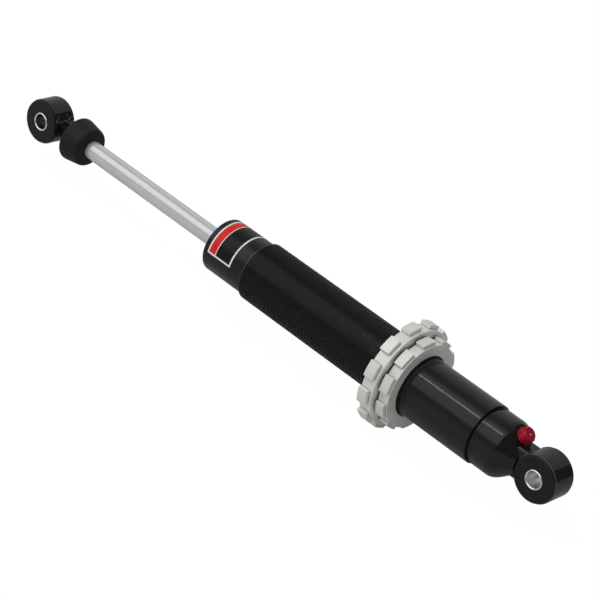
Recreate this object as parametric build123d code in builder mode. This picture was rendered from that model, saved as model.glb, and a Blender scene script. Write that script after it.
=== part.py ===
from build123d import *
import math
import os

# Gas-charged monotube ski shock absorber with threaded spring-seat rings, at full extension.
# Sizes are in millimetres. The origin is the centre of the body eye, +X runs along the shock
# to the rod eye, +Y runs along both eye bores, and +Z is the side of the gas valve.

os.makedirs("parts", exist_ok=True)

# Main sizes
eye_to_eye = 441.0
rod_d = 12.5
bore_d = 33.0

# Clearances, all radial or per side
running_gap = 0.05
seat_gap = 0.03
stop_gap = 0.3

# Edges broken on turned pieces
edge_break = 0.5
plate_edge = 0.3

# End cap, from the body eye outwards
cap_shoulder_x = 29.0
cap_flange_len = 12.0
cap_flange_d = 37.8
cap_cone_drop = 2.3
cap_cone_run = 4.8
cap_cone_end_x = 15.4
cap_cone_end_d = 18.2
cap_groove_w = 2.7
cap_seat_d = 35.6
cap_spigot_len = 8.0
cap_recess_d = 22.0
cap_recess_depth = 4.0
cap_neck_top = 10.8
cap_neck_bottom = 10.5
cap_neck_w = 14.0
cap_neck_round = 3.0
gas_passage_d = 3.0
gas_drilling_d = 5.0

# Body tube
smooth_len = 51.8
smooth_d = 39.7
thread_len = 140.1
thread_d = 40.0
neck_len = 34.4
neck_d = 36.6
tube_edge = 0.6

# Spring-seat rings on the thread
lock_back_off = 2.2
lock_len = 7.8
lock_valley_d = 56.6
lock_lug_h = 2.2
lock_lug_len = 6.7
lock_lug_w = 11.2
lock_lugs = 10
lock_turn = 13.8
ring_parting = 1.1
adjuster_len = 9.1
adjuster_valley_d = 66.0
adjuster_lug_h = 2.6
adjuster_lug_len = 7.0
adjuster_lug_w = 10.6
adjuster_lugs = 12
adjuster_turn = 20.5
pilot_d = 48.0
pilot_len = 3.0
ring_chamfer = 1.0
lug_chamfer = 0.35

# Eyes
sleeve_d = 12.5
sleeve_bore_d = 10.1
sleeve_chamfer = 0.4
sleeve_proud = 0.25
eye_bore_d = 19.0
bushing_flange_t = 1.5
bushing_round = 0.7
bushing_rim = 0.6
bushing_parting = 0.4
loop_round = 0.5
body_loop_d = 30.0
body_loop_w = 16.3
rod_loop_d = 30.0
rod_loop_w = 14.5

# Rod eye boss, washer and bump stop
boss_reach = 24.7
boss_d = 14.0
boss_chamfer = 1.0
boss_thread_d = 10.0
boss_thread_len = 10.5
washer_t = 2.0
washer_d = 23.0
bump_len = 15.4
bump_rear_d = 30.4
bump_front_d = 26.0
bump_front_round = 3.2
bump_land = 2.0
bump_rear_round = 1.0

# Seal head in the neck
rim_depth = 1.8
retainer_t = 1.4
retainer_groove_depth = 0.7
retainer_w = 2.3
retainer_opening = 7.0
head_len = 24.5
head_step = 2.0
head_step_depth = 3.0
wiper_pocket_d = 21.0
wiper_pocket_depth = 5.0
wiper_lip_len = 0.8
wiper_root_t = 1.6
wiper_tip_t = 0.8
seal_pocket_d = 20.0
seal_pocket_w = 5.0
seal_slot_w = 1.0
seal_slot_depth = 2.5
pocket_land = 2.0
guide_wall = 1.5
guide_len = 9.5
guide_recess = 0.8
rod_hole_gap = 0.25

# O-rings
o_ring_section = 2.6
o_ring_groove_w = 3.0

# Piston stack on the rod
top_out_len = 6.0
top_out_d = 21.0
plate_t = 2.0
plate_d = 25.0
shim_t = 0.6
compression_shim_ds = (29.0, 25.0, 21.0, 17.0)
rebound_shim_ds = (19.2, 18.0, 16.8, 15.6)
piston_len = 15.0
piston_side_gap = 0.35
piston_edge = 0.6
post_d = 10.0
port_d = 4.0
port_circle_d = 24.0
ports = 6
return_port_d = 3.0
return_circle_d = 15.2
return_ports = 3
return_slot_w = 3.4
return_slot_depth = 2.5
band_w = 9.0
band_t = 0.9
band_opening = 2.0
nut_af = 17.0
nut_len = 8.0
nut_chamfer = 0.8
post_tip = 1.0

# Floating piston
floating_len = 12.0
floating_recess_d = 21.0
floating_recess_depth = 6.0
floating_band_w = 3.0
floating_band_inset = 1.2
floating_ring_inset = 1.6
bottom_out_gap = 2.0

# Gas valve, measured along its own axis from the spot face
valve_x = 21.2
valve_z = 13.6
valve_boss_d = 14.6
valve_boss_depth = 9.0
spot_face_d = 12.8
stem_shank_d = 7.0
stem_shank_len = 7.5
stem_hex_af = 9.4
stem_hex_t = 1.1
stem_thread_d = 7.7
stem_bore_d = 3.6
stem_guide_d = 1.5
stem_guide_len = 2.0
stem_guide_depth = 2.0
valve_ring_section = 1.2
pin_d = 1.34
pin_head_d = 2.4
pin_head_t = 0.8
pin_recess = 0.4
pin_tail = 2.6
cap_lift = 0.1
cap_h = 4.8
cap_rim_d = 10.8
cap_rim_t = 0.9
cap_hex_af = 9.0
cap_hex_round = 0.9
cap_top_d = 8.9
cap_top_t = 0.8
cap_top_chamfer = 0.35
cap_roof = 0.8
cap_dimple_d = 1.1
cap_dimple_depth = 0.3
cap_seal_t = 0.35
cap_seal_wall = 1.1

# Stations along the shock that follow from the sizes above
rod_r = rod_d / 2
bore_r = bore_d / 2
cap_flange_end = cap_shoulder_x + cap_flange_len
tube_start = cap_flange_end + cap_groove_w
thread_start = tube_start + smooth_len
thread_end = thread_start + thread_len
tube_end = thread_end + neck_len
spigot_end = tube_start + cap_spigot_len
lock_x = thread_start + lock_back_off
adjuster_x = lock_x + lock_len + ring_parting
adjuster_face_x = adjuster_x + adjuster_len
retainer_x = tube_end - rim_depth - retainer_t
head_x = retainer_x - head_len
rod_shoulder_x = head_x - stop_gap - top_out_len
plate_x = rod_shoulder_x - plate_t
piston_x = plate_x - shim_t * len(compression_shim_ds) - piston_len
nut_x = piston_x - shim_t * len(rebound_shim_ds) - nut_len
rod_tip_x = nut_x - post_tip
boss_x = eye_to_eye - boss_reach
bump_rear_x = boss_x - washer_t
bump_front_x = bump_rear_x - bump_len
stroke = bump_front_x - tube_end - stop_gap
floating_ratio = (rod_d / bore_d) ** 2
floating_x = rod_tip_x - stroke * (1 - floating_ratio) - bottom_out_gap - floating_len

# Valve plane: its Z leans halfway between the body eye and the valve side
valve_plane = Plane(origin=(valve_x, 0, valve_z), x_dir=(0, 1, 0), z_dir=(-1, 0, 1))
valve_axis = Axis(valve_plane.origin, valve_plane.z_dir)
stem_thread_len = cap_lift + cap_h - cap_roof - cap_seal_t - running_gap
stem_top = stem_hex_t + stem_thread_len


def save(builder, label):
    """Label a finished piece and write its STEP file."""
    builder.part.label = label
    export_step(builder.part, f"parts/{label}.step")


def ring_section(x0, x1, r_in, r_out, mode=Mode.ADD):
    """A rectangle between two stations and two radii, in the plane that is revolved."""
    with Locations(((x0 + x1) / 2, (r_in + r_out) / 2)):
        Rectangle(x1 - x0, r_out - r_in, mode=mode)


def turned(x0, x1, r_in, r_out, edge):
    """A plain ring about the shock's axis, with its outer edges broken."""
    with BuildPart() as piece:
        with BuildSketch(Plane.XY) as section:
            ring_section(x0, x1, r_in, r_out)
            chamfer(section.vertices().group_by(Axis.Y)[-1], edge)
        revolve(axis=Axis.X)
    return piece


def open_ring(x0, x1, r_outer, wall, opening):
    """A ring that is split by an opening, so that it springs or opens over what it fits."""
    with BuildPart() as piece:
        with BuildSketch(Plane.XY):
            ring_section(x0, x1, r_outer - wall, r_outer)
        revolve(axis=Axis.X, revolution_arc=360 - math.degrees(opening / r_outer))
    return piece


def o_ring(x_mid, r_outer):
    """An O-ring whose outside sits just inside the bore it seals."""
    with BuildPart() as piece:
        with BuildSketch(Plane.XY):
            with Locations((x_mid, r_outer - seat_gap - o_ring_section / 2)):
                Circle(o_ring_section / 2)
        revolve(axis=Axis.X)
    return piece


def o_ring_floor(r_outer):
    """Radius of the groove floor under an O-ring that seals at r_outer."""
    return r_outer - o_ring_section - 2 * seat_gap


# Body tube: smooth end, thread crest, turned-down neck, and the retaining-ring groove
with BuildPart() as body_tube:
    with BuildSketch(Plane.XY):
        with BuildLine():
            Polyline(
                (tube_start, bore_r + tube_edge),
                (tube_start, smooth_d / 2 - tube_edge),
                (tube_start + tube_edge, smooth_d / 2),
                (thread_start, smooth_d / 2),
                (thread_start, thread_d / 2),
                (thread_end - tube_edge, thread_d / 2),
                (thread_end, thread_d / 2 - tube_edge),
                (thread_end, neck_d / 2),
                (tube_end - tube_edge, neck_d / 2),
                (tube_end, neck_d / 2 - tube_edge),
                (tube_end, bore_r + tube_edge),
                (tube_end - tube_edge, bore_r),
                (retainer_x + retainer_t + seat_gap, bore_r),
                (retainer_x + retainer_t + seat_gap, bore_r + retainer_groove_depth),
                (retainer_x - seat_gap, bore_r + retainer_groove_depth),
                (retainer_x - seat_gap, bore_r),
                (tube_start + tube_edge, bore_r),
                close=True,
            )
        make_face()
    revolve(axis=Axis.X)
save(body_tube, "body_tube")

# End cap: spigot, flange and cone turned in one, then the neck, the eye loop and the valve boss
spigot_r = bore_r - seat_gap
cap_ring_x = tube_start + cap_spigot_len / 2
with BuildPart() as body_end_cap:
    with BuildSketch(Plane.XY):
        with BuildLine():
            cone_top = (cap_shoulder_x - cap_cone_run, cap_flange_d / 2 - cap_cone_drop)
            cone_foot = (cap_cone_end_x, cap_cone_end_d / 2)
            cone_slope = (cone_top[0] - cone_foot[0], cone_top[1] - cone_foot[1])
            Line((cap_cone_end_x, 0), cone_foot)
            Line(cone_foot, cone_top)
            TangentArc(cone_top, (cap_shoulder_x, cap_flange_d / 2), tangent=cone_slope)
            Polyline(
                (cap_shoulder_x, cap_flange_d / 2),
                (cap_flange_end - edge_break, cap_flange_d / 2),
                (cap_flange_end, cap_flange_d / 2 - edge_break),
                (cap_flange_end, cap_seat_d / 2),
                (tube_start, cap_seat_d / 2),
                (tube_start, spigot_r),
                (cap_ring_x - o_ring_groove_w / 2, spigot_r),
                (cap_ring_x - o_ring_groove_w / 2, o_ring_floor(bore_r)),
                (cap_ring_x + o_ring_groove_w / 2, o_ring_floor(bore_r)),
                (cap_ring_x + o_ring_groove_w / 2, spigot_r),
                (spigot_end - edge_break, spigot_r),
                (spigot_end, spigot_r - edge_break),
                (spigot_end, cap_recess_d / 2),
                (spigot_end - cap_recess_depth, cap_recess_d / 2 - edge_break),
                (spigot_end - cap_recess_depth, 0),
                (cap_cone_end_x, 0),
            )
        make_face()
    revolve(axis=Axis.X)
    neck_end_x = cap_shoulder_x - cap_cone_run
    with BuildSketch(Plane.YZ):
        with Locations((0, (cap_neck_top - cap_neck_bottom) / 2)):
            RectangleRounded(cap_neck_w, cap_neck_top + cap_neck_bottom, cap_neck_round)
    extrude(amount=neck_end_x)
    with BuildSketch(Plane.XY) as loop_section:
        with Locations((body_loop_d / 4, 0)):
            Rectangle(body_loop_d / 2, body_loop_w)
        fillet(loop_section.vertices().group_by(Axis.X)[-1], loop_round)
    revolve(axis=Axis.Y)
    with BuildSketch(valve_plane):
        Circle(valve_boss_d / 2)
    extrude(amount=-valve_boss_depth)
    with BuildSketch(Plane.XZ):
        Circle(eye_bore_d / 2)
    extrude(amount=body_loop_w, both=True, mode=Mode.SUBTRACT)
    with BuildSketch(valve_plane):
        Circle(spot_face_d / 2)
    extrude(amount=cap_flange_d / 2, mode=Mode.SUBTRACT)
    with BuildSketch(valve_plane):
        Circle(stem_shank_d / 2 + seat_gap)
    extrude(amount=-stem_shank_len - seat_gap, mode=Mode.SUBTRACT)
    with BuildSketch(valve_plane):
        Circle(stem_shank_d / 2 + valve_ring_section + 2 * seat_gap)
    extrude(amount=-valve_ring_section - seat_gap, mode=Mode.SUBTRACT)
    gas_passage_len = valve_z * math.sqrt(2)
    with BuildSketch(valve_plane):
        Circle(gas_passage_d / 2)
    extrude(amount=-gas_passage_len, mode=Mode.SUBTRACT)
    with BuildSketch(Plane.YZ.offset(valve_x + valve_z - gas_drilling_d / 2)):
        Circle(gas_drilling_d / 2)
    extrude(amount=spigot_end - valve_x - valve_z, mode=Mode.SUBTRACT)
save(body_end_cap, "body_end_cap")

end_cap_o_ring = o_ring(cap_ring_x, bore_r)
save(end_cap_o_ring, "end_cap_o_ring")

# Gas valve stem: shank in the boss, hexagon on the spot face, threaded nose, stepped bore
with BuildPart() as valve_stem:
    with BuildSketch(valve_plane.offset(-stem_shank_len)):
        Circle(stem_shank_d / 2)
    extrude(amount=stem_shank_len)
    with BuildSketch(valve_plane):
        RegularPolygon(stem_hex_af / 2, 6, major_radius=False)
    extrude(amount=stem_hex_t)
    with BuildSketch(valve_plane.offset(stem_hex_t)):
        Circle(stem_thread_d / 2)
    extrude(amount=stem_thread_len)
    chamfer(valve_stem.faces().sort_by(valve_axis)[-1].edges(), edge_break)
    with BuildSketch(valve_plane.offset(-stem_shank_len)):
        Circle(stem_bore_d / 2)
    extrude(amount=stem_shank_len + stem_top, mode=Mode.SUBTRACT)
    with BuildSketch(valve_plane.offset(stem_top - stem_guide_depth - stem_guide_len)):
        Circle(stem_bore_d / 2)
        Circle(stem_guide_d / 2, mode=Mode.SUBTRACT)
    extrude(amount=stem_guide_len)
save(valve_stem, "valve_stem")

valve_ring_mid = valve_plane.offset(-valve_ring_section / 2).origin
with BuildPart() as valve_o_ring:
    with BuildSketch(Plane(origin=valve_ring_mid, x_dir=(0, 1, 0), z_dir=(-1, 0, -1))):
        with Locations((stem_shank_d / 2 + seat_gap + valve_ring_section / 2, 0)):
            Circle(valve_ring_section / 2)
    revolve(axis=valve_axis)
save(valve_o_ring, "valve_o_ring")

# Valve pin: a headed pin that slides in the stem's guide
pin_len = stem_guide_depth - pin_recess + stem_guide_len + pin_tail
with BuildPart() as valve_pin:
    with BuildSketch(valve_plane.offset(stem_top - pin_recess)):
        Circle(pin_d / 2)
    extrude(amount=-pin_len)
    with BuildSketch(valve_plane.offset(stem_top - pin_recess - pin_len)):
        Circle(pin_head_d / 2)
    extrude(amount=-pin_head_t)
save(valve_pin, "valve_pin")

# Valve cap: rim, hexagon grip with rounded corners, round top with a dimple
cap_base = stem_hex_t + cap_lift
with BuildPart() as valve_cap:
    with BuildSketch(valve_plane.offset(cap_base)):
        Circle(cap_rim_d / 2)
    extrude(amount=cap_rim_t)
    with BuildSketch(valve_plane.offset(cap_base)) as grip:
        RegularPolygon(cap_hex_af / 2, 6, major_radius=False)
        fillet(grip.vertices(), cap_hex_round)
    extrude(amount=cap_h - cap_top_t)
    with BuildSketch(valve_plane.offset(cap_base)):
        Circle(cap_top_d / 2)
    extrude(amount=cap_h)
    chamfer(valve_cap.faces().sort_by(valve_axis)[-1].edges(), cap_top_chamfer)
    with BuildSketch(valve_plane.offset(cap_base)):
        Circle(stem_thread_d / 2 + running_gap)
    extrude(amount=cap_h - cap_roof, mode=Mode.SUBTRACT)
    with BuildSketch(valve_plane.offset(cap_base + cap_h)):
        Circle(cap_dimple_d / 2)
    extrude(amount=-cap_dimple_depth, mode=Mode.SUBTRACT)
save(valve_cap, "valve_cap")

cap_ceiling = cap_base + cap_h - cap_roof
with BuildPart() as valve_cap_seal:
    with BuildSketch(valve_plane.offset(cap_ceiling - cap_seal_t)):
        Circle(stem_thread_d / 2)
        Circle(stem_thread_d / 2 - cap_seal_wall, mode=Mode.SUBTRACT)
    extrude(amount=cap_seal_t)
save(valve_cap_seal, "valve_cap_seal")


def castellated_ring(x0, length, valley_d, lug_h, lug_len, lug_w, count, turn, pilot=0.0):
    """A threaded ring with lugs flush with its far face, and a pilot collar beyond that face."""
    thread_r = thread_d / 2 + running_gap
    with BuildPart() as piece:
        with BuildSketch(Plane.XY) as rim:
            ring_section(x0, x0 + length, thread_r, valley_d / 2)
            chamfer(rim.vertices().group_by(Axis.Y)[0], ring_chamfer)
            chamfer(rim.vertices().group_by(Axis.Y)[-1], lug_chamfer)
        revolve(axis=Axis.X)
        lug_d = valley_d + 2 * lug_h
        with BuildSketch(Plane.YZ.offset(x0 + length - lug_len)):
            with PolarLocations(valley_d / 2, count, start_angle=turn):
                Rectangle(2 * lug_h, lug_w)
            Circle(lug_d / 2, mode=Mode.INTERSECT)
        extrude(amount=lug_len)
        arcs = piece.edges().filter_by(GeomType.CIRCLE)
        chamfer([arc for arc in arcs if abs(arc.radius - lug_d / 2) < lug_chamfer], lug_chamfer)
        if pilot:
            with BuildSketch(Plane.XY) as collar:
                ring_section(x0 + length - ring_chamfer, x0 + length + pilot, thread_r, pilot_d / 2)
                chamfer(collar.vertices().group_by(Axis.X)[-1], lug_chamfer)
            revolve(axis=Axis.X)
    return piece


lock_ring = castellated_ring(
    lock_x, lock_len, lock_valley_d, lock_lug_h, lock_lug_len, lock_lug_w, lock_lugs, lock_turn
)
save(lock_ring, "lock_ring")

# Adjuster ring: its far face is the spring seat, and its pilot collar centres the spring
adjuster_ring = castellated_ring(
    adjuster_x, adjuster_len, adjuster_valley_d, adjuster_lug_h,
    adjuster_lug_len, adjuster_lug_w, adjuster_lugs, adjuster_turn, pilot_len,
)
save(adjuster_ring, "adjuster_ring")


def eye_bushing(eye_x, loop_d, loop_w, side):
    """One flanged half bushing, pressed into an eye from its front or back face."""
    with BuildPart() as piece:
        with BuildSketch(Plane.XY) as section:
            with BuildLine():
                Polyline(
                    (eye_x + sleeve_d / 2 + running_gap, side * bushing_parting / 2),
                    (eye_x + eye_bore_d / 2 - seat_gap, side * bushing_parting / 2),
                    (eye_x + eye_bore_d / 2 - seat_gap, side * loop_w / 2),
                    (eye_x + loop_d / 2 - bushing_rim, side * loop_w / 2),
                    (eye_x + loop_d / 2 - bushing_rim, side * (loop_w / 2 + bushing_flange_t)),
                    (eye_x + sleeve_d / 2 + running_gap, side * (loop_w / 2 + bushing_flange_t)),
                    close=True,
                )
            make_face()
            rim_side = Axis.Y if side > 0 else -Axis.Y
            rim_corner = section.vertices().group_by(rim_side)[-1].sort_by(Axis.X)[-1]
            fillet(rim_corner, bushing_round)
        revolve(axis=Axis((eye_x, 0, 0), (0, 1, 0)))
    return piece


def eye_sleeve(eye_x, loop_w):
    """The steel sleeve that the mounting bolt clamps, just proud of both bushings."""
    half = loop_w / 2 + bushing_flange_t + sleeve_proud
    with BuildPart() as piece:
        with BuildSketch(Plane.XY) as section:
            with Locations((eye_x + (sleeve_d + sleeve_bore_d) / 4, 0)):
                Rectangle((sleeve_d - sleeve_bore_d) / 2, 2 * half)
            chamfer(section.vertices(), sleeve_chamfer)
        revolve(axis=Axis((eye_x, 0, 0), (0, 1, 0)))
    return piece


for eye, eye_x, loop_d, loop_w in (
    ("body_eye", 0.0, body_loop_d, body_loop_w),
    ("rod_eye", eye_to_eye, rod_loop_d, rod_loop_w),
):
    save(eye_bushing(eye_x, loop_d, loop_w, 1), f"{eye}_bushing_front")
    save(eye_bushing(eye_x, loop_d, loop_w, -1), f"{eye}_bushing_back")
    save(eye_sleeve(eye_x, loop_w), f"{eye}_sleeve")

# Seal head: closes the neck and holds the wiper, the rod seal and the guide bushing
head_r = bore_r - seat_gap
hole_r = rod_r + rod_hole_gap
guide_r = rod_r + running_gap + guide_wall + seat_gap
seal_x = retainer_x - wiper_pocket_depth - pocket_land
head_ring_x = (head_x + retainer_x) / 2
with BuildPart() as seal_head:
    with BuildSketch(Plane.XY):
        with BuildLine():
            Polyline(
                (retainer_x, wiper_pocket_d / 2),
                (retainer_x, head_r),
                (head_ring_x + o_ring_groove_w / 2, head_r),
                (head_ring_x + o_ring_groove_w / 2, o_ring_floor(bore_r)),
                (head_ring_x - o_ring_groove_w / 2, o_ring_floor(bore_r)),
                (head_ring_x - o_ring_groove_w / 2, head_r),
                (head_x + head_step_depth, head_r),
                (head_x, head_r - head_step),
                (head_x, guide_r + edge_break),
                (head_x + edge_break, guide_r),
                (head_x + guide_recess + guide_len, guide_r),
                (head_x + guide_recess + guide_len, hole_r),
                (seal_x - seal_pocket_w, hole_r),
                (seal_x - seal_pocket_w, seal_pocket_d / 2),
                (seal_x, seal_pocket_d / 2),
                (seal_x, hole_r),
                (retainer_x - wiper_pocket_depth, hole_r),
                (retainer_x - wiper_pocket_depth, wiper_pocket_d / 2),
                close=True,
            )
        make_face()
    revolve(axis=Axis.X)
save(seal_head, "seal_head")

seal_head_o_ring = o_ring(head_ring_x, bore_r)
save(seal_head_o_ring, "seal_head_o_ring")

rod_bushing = turned(
    head_x + guide_recess, head_x + guide_recess + guide_len,
    rod_r + running_gap, guide_r - seat_gap, seat_gap,
)
save(rod_bushing, "rod_bushing")

# Rod seal: a U-shaped ring, open towards the oil
with BuildPart() as rod_seal:
    with BuildSketch(Plane.XY):
        ring_section(
            seal_x - seal_pocket_w + seat_gap, seal_x - seat_gap,
            rod_r + running_gap, seal_pocket_d / 2 - seat_gap,
        )
        seal_mid = (rod_r + seal_pocket_d / 2) / 2
        ring_section(
            seal_x - seal_pocket_w, seal_x - seal_pocket_w + seal_slot_depth,
            seal_mid - seal_slot_w / 2, seal_mid + seal_slot_w / 2, Mode.SUBTRACT,
        )
    revolve(axis=Axis.X)
save(rod_seal, "rod_seal")

# Rod wiper: a body in the head's mouth with a lip that leans along the rod
with BuildPart() as rod_wiper:
    with BuildSketch(Plane.XY):
        with BuildLine():
            Polyline(
                (retainer_x - wiper_pocket_depth, rod_r + running_gap),
                (retainer_x - wiper_pocket_depth, wiper_pocket_d / 2 - seat_gap),
                (retainer_x, wiper_pocket_d / 2 - seat_gap),
                (retainer_x, rod_r + wiper_root_t),
                (retainer_x + wiper_lip_len, rod_r + wiper_tip_t),
                (retainer_x + wiper_lip_len, rod_r + running_gap),
                close=True,
            )
        make_face()
    revolve(axis=Axis.X)
save(rod_wiper, "rod_wiper")

# Retaining ring: an open ring sprung into the neck's groove
retainer_r = bore_r + retainer_groove_depth - seat_gap
retaining_ring = open_ring(
    retainer_x, retainer_x + retainer_t, retainer_r, retainer_w, retainer_opening
)
save(retaining_ring, "retaining_ring")

# Piston rod: chromed shaft with a threaded post for the piston and one for the rod eye
with BuildPart() as piston_rod:
    with BuildSketch(Plane.XY):
        with BuildLine():
            Polyline(
                (rod_tip_x, 0),
                (rod_tip_x, post_d / 2 - edge_break),
                (rod_tip_x + edge_break, post_d / 2),
                (rod_shoulder_x, post_d / 2),
                (rod_shoulder_x, rod_r),
                (boss_x, rod_r),
                (boss_x, boss_thread_d / 2),
                (boss_x + boss_thread_len - edge_break, boss_thread_d / 2),
                (boss_x + boss_thread_len, boss_thread_d / 2 - edge_break),
                (boss_x + boss_thread_len, 0),
                close=True,
            )
        make_face()
    revolve(axis=Axis.X)
save(piston_rod, "piston_rod")

# Rod eye: a boss that takes the rod's thread, joined to the eye loop
with BuildPart() as rod_eye:
    with BuildSketch(Plane.XY) as boss:
        ring_section(boss_x, eye_to_eye, 0, boss_d / 2)
        chamfer(boss.vertices().group_by(Axis.X)[0].sort_by(Axis.Y)[-1], boss_chamfer)
    revolve(axis=Axis.X)
    with BuildSketch(Plane.XY) as loop_section:
        with Locations((eye_to_eye + rod_loop_d / 4, 0)):
            Rectangle(rod_loop_d / 2, rod_loop_w)
        fillet(loop_section.vertices().group_by(Axis.X)[-1], loop_round)
    revolve(axis=Axis((eye_to_eye, 0, 0), (0, 1, 0)))
    with BuildSketch(Plane.XZ):
        with Locations((eye_to_eye, 0)):
            Circle(eye_bore_d / 2)
    extrude(amount=rod_loop_w, both=True, mode=Mode.SUBTRACT)
    with BuildSketch(Plane.YZ.offset(boss_x)):
        Circle(boss_thread_d / 2 + seat_gap)
    extrude(amount=boss_thread_len + seat_gap, mode=Mode.SUBTRACT)
save(rod_eye, "rod_eye")

# Bump stop: a rubber cone with rounded rims, backed by a steel washer
bump_bore_r = rod_r + running_gap
with BuildPart() as bump_stop:
    with BuildSketch(Plane.XY) as bump_section:
        with BuildLine():
            Polyline(
                (bump_front_x, bump_bore_r),
                (bump_front_x, bump_front_d / 2),
                (bump_rear_x - bump_land, bump_rear_d / 2),
                (bump_rear_x, bump_rear_d / 2),
                (bump_rear_x, bump_bore_r),
                close=True,
            )
        make_face()
        fillet(bump_section.vertices().group_by(Axis.X)[0].sort_by(Axis.Y)[-1], bump_front_round)
        fillet(bump_section.vertices().group_by(Axis.X)[-1].sort_by(Axis.Y)[-1], bump_rear_round)
    revolve(axis=Axis.X)
save(bump_stop, "bump_stop")

bump_stop_washer = turned(bump_rear_x, boss_x, bump_bore_r, washer_d / 2, plate_edge)
save(bump_stop_washer, "bump_stop_washer")

# Top-out bumper and plate, on the rod above the piston
top_out_bumper = turned(
    rod_shoulder_x, rod_shoulder_x + top_out_len, rod_r + seat_gap, top_out_d / 2, edge_break
)
save(top_out_bumper, "top_out_bumper")
top_out_plate = turned(plate_x, rod_shoulder_x, post_d / 2 + seat_gap, plate_d / 2, plate_edge)
save(top_out_plate, "top_out_plate")

# Main piston: six compression ports, and three return ports that open into slots
piston_r = bore_r - piston_side_gap
band_x = piston_x + (piston_len - band_w) / 2
band_floor = bore_r - running_gap - band_t - seat_gap
with BuildPart() as main_piston:
    with BuildSketch(Plane.XY) as piston_section:
        ring_section(piston_x, piston_x + piston_len, post_d / 2 + seat_gap, piston_r)
        chamfer(piston_section.vertices().group_by(Axis.Y)[-1], piston_edge)
        ring_section(
            band_x - seat_gap, band_x + band_w + seat_gap, band_floor, bore_r, Mode.SUBTRACT
        )
    revolve(axis=Axis.X)
    with BuildSketch(Plane.YZ.offset(piston_x)):
        with PolarLocations(port_circle_d / 2, ports, start_angle=180 / ports):
            Circle(port_d / 2)
        with PolarLocations(return_circle_d / 2, return_ports):
            Circle(return_port_d / 2)
    extrude(amount=piston_len, mode=Mode.SUBTRACT)
    slot_len = piston_r - return_circle_d / 2 + return_slot_w / 2
    with BuildSketch(Plane.YZ.offset(piston_x + piston_len)):
        with PolarLocations(piston_r - slot_len / 2, return_ports):
            Rectangle(slot_len, return_slot_w)
    extrude(amount=-return_slot_depth, mode=Mode.SUBTRACT)
save(main_piston, "main_piston")

piston_band = open_ring(band_x, band_x + band_w, bore_r - running_gap, band_t, band_opening)
save(piston_band, "piston_band")


def shim_stack(face_x, diameters, direction):
    """Thin discs that lean on a piston face, the widest one first."""
    with BuildPart() as piece:
        for index, diameter in enumerate(diameters):
            inner = face_x + direction * index * shim_t
            with BuildSketch(Plane.YZ.offset(inner)):
                Circle(diameter / 2)
                Circle(post_d / 2 + seat_gap, mode=Mode.SUBTRACT)
            extrude(amount=direction * shim_t)
    return piece


save(shim_stack(piston_x + piston_len, compression_shim_ds, 1), "compression_shims")
save(shim_stack(piston_x, rebound_shim_ds, -1), "rebound_shims")

with BuildPart() as piston_nut:
    with BuildSketch(Plane.YZ.offset(nut_x)):
        RegularPolygon(nut_af / 2, 6, major_radius=False)
    extrude(amount=nut_len)
    with BuildSketch(Plane.XY) as nut_turning:
        ring_section(nut_x, nut_x + nut_len, 0, nut_af / math.sqrt(3))
        chamfer(nut_turning.vertices().group_by(Axis.Y)[-1], nut_chamfer)
    revolve(axis=Axis.X, mode=Mode.INTERSECT)
    with BuildSketch(Plane.YZ.offset(nut_x)):
        Circle(post_d / 2 + seat_gap)
    extrude(amount=nut_len, mode=Mode.SUBTRACT)
save(piston_nut, "piston_nut")

# Floating piston: parts the gas from the oil, with a recess on its gas side
floating_end = floating_x + floating_len
floating_r = bore_r - running_gap - seat_gap
floating_ring_x = floating_end - floating_ring_inset - o_ring_groove_w / 2
floating_band_x = floating_x + floating_band_inset
with BuildPart() as floating_piston:
    with BuildSketch(Plane.XY):
        with BuildLine():
            Polyline(
                (floating_x + floating_recess_depth, 0),
                (floating_x + floating_recess_depth, floating_recess_d / 2 - edge_break),
                (floating_x, floating_recess_d / 2),
                (floating_x, floating_r - edge_break),
                (floating_x + edge_break, floating_r),
                (floating_band_x - seat_gap, floating_r),
                (floating_band_x - seat_gap, band_floor),
                (floating_band_x + floating_band_w + seat_gap, band_floor),
                (floating_band_x + floating_band_w + seat_gap, floating_r),
                (floating_ring_x - o_ring_groove_w / 2, floating_r),
                (floating_ring_x - o_ring_groove_w / 2, o_ring_floor(bore_r)),
                (floating_ring_x + o_ring_groove_w / 2, o_ring_floor(bore_r)),
                (floating_ring_x + o_ring_groove_w / 2, floating_r),
                (floating_end - edge_break, floating_r),
                (floating_end, floating_r - edge_break),
                (floating_end, 0),
                close=True,
            )
        make_face()
    revolve(axis=Axis.X)
save(floating_piston, "floating_piston")

floating_piston_o_ring = o_ring(floating_ring_x, bore_r)
save(floating_piston_o_ring, "floating_piston_o_ring")
floating_piston_band = open_ring(
    floating_band_x, floating_band_x + floating_band_w, bore_r - running_gap, band_t, band_opening
)
save(floating_piston_band, "floating_piston_band")

print(f"stroke {stroke:.2f}, floating piston ratio {floating_ratio:.5f}")
print(f"adjuster face {adjuster_face_x:.2f}, thread end {thread_end:.2f}")
print(f"floating piston at rest {floating_x:.2f} to {floating_end:.2f}")
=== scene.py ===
# %% [markdown]
# A ski shock absorber, dressed for its portrait
#
# The engineering model already has every piece of this gas-charged shock at its true size:
# the tube, the rings, the rod, the eyes and what is sealed inside. This lesson gives those
# pieces their finishes, cuts the fine thread that a solid modeller would choke on, and lights
# the shock on a white studio floor.

# %% Load the engineering model
import math

import bmesh
import bpy
from mathutils import Matrix, Vector


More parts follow.
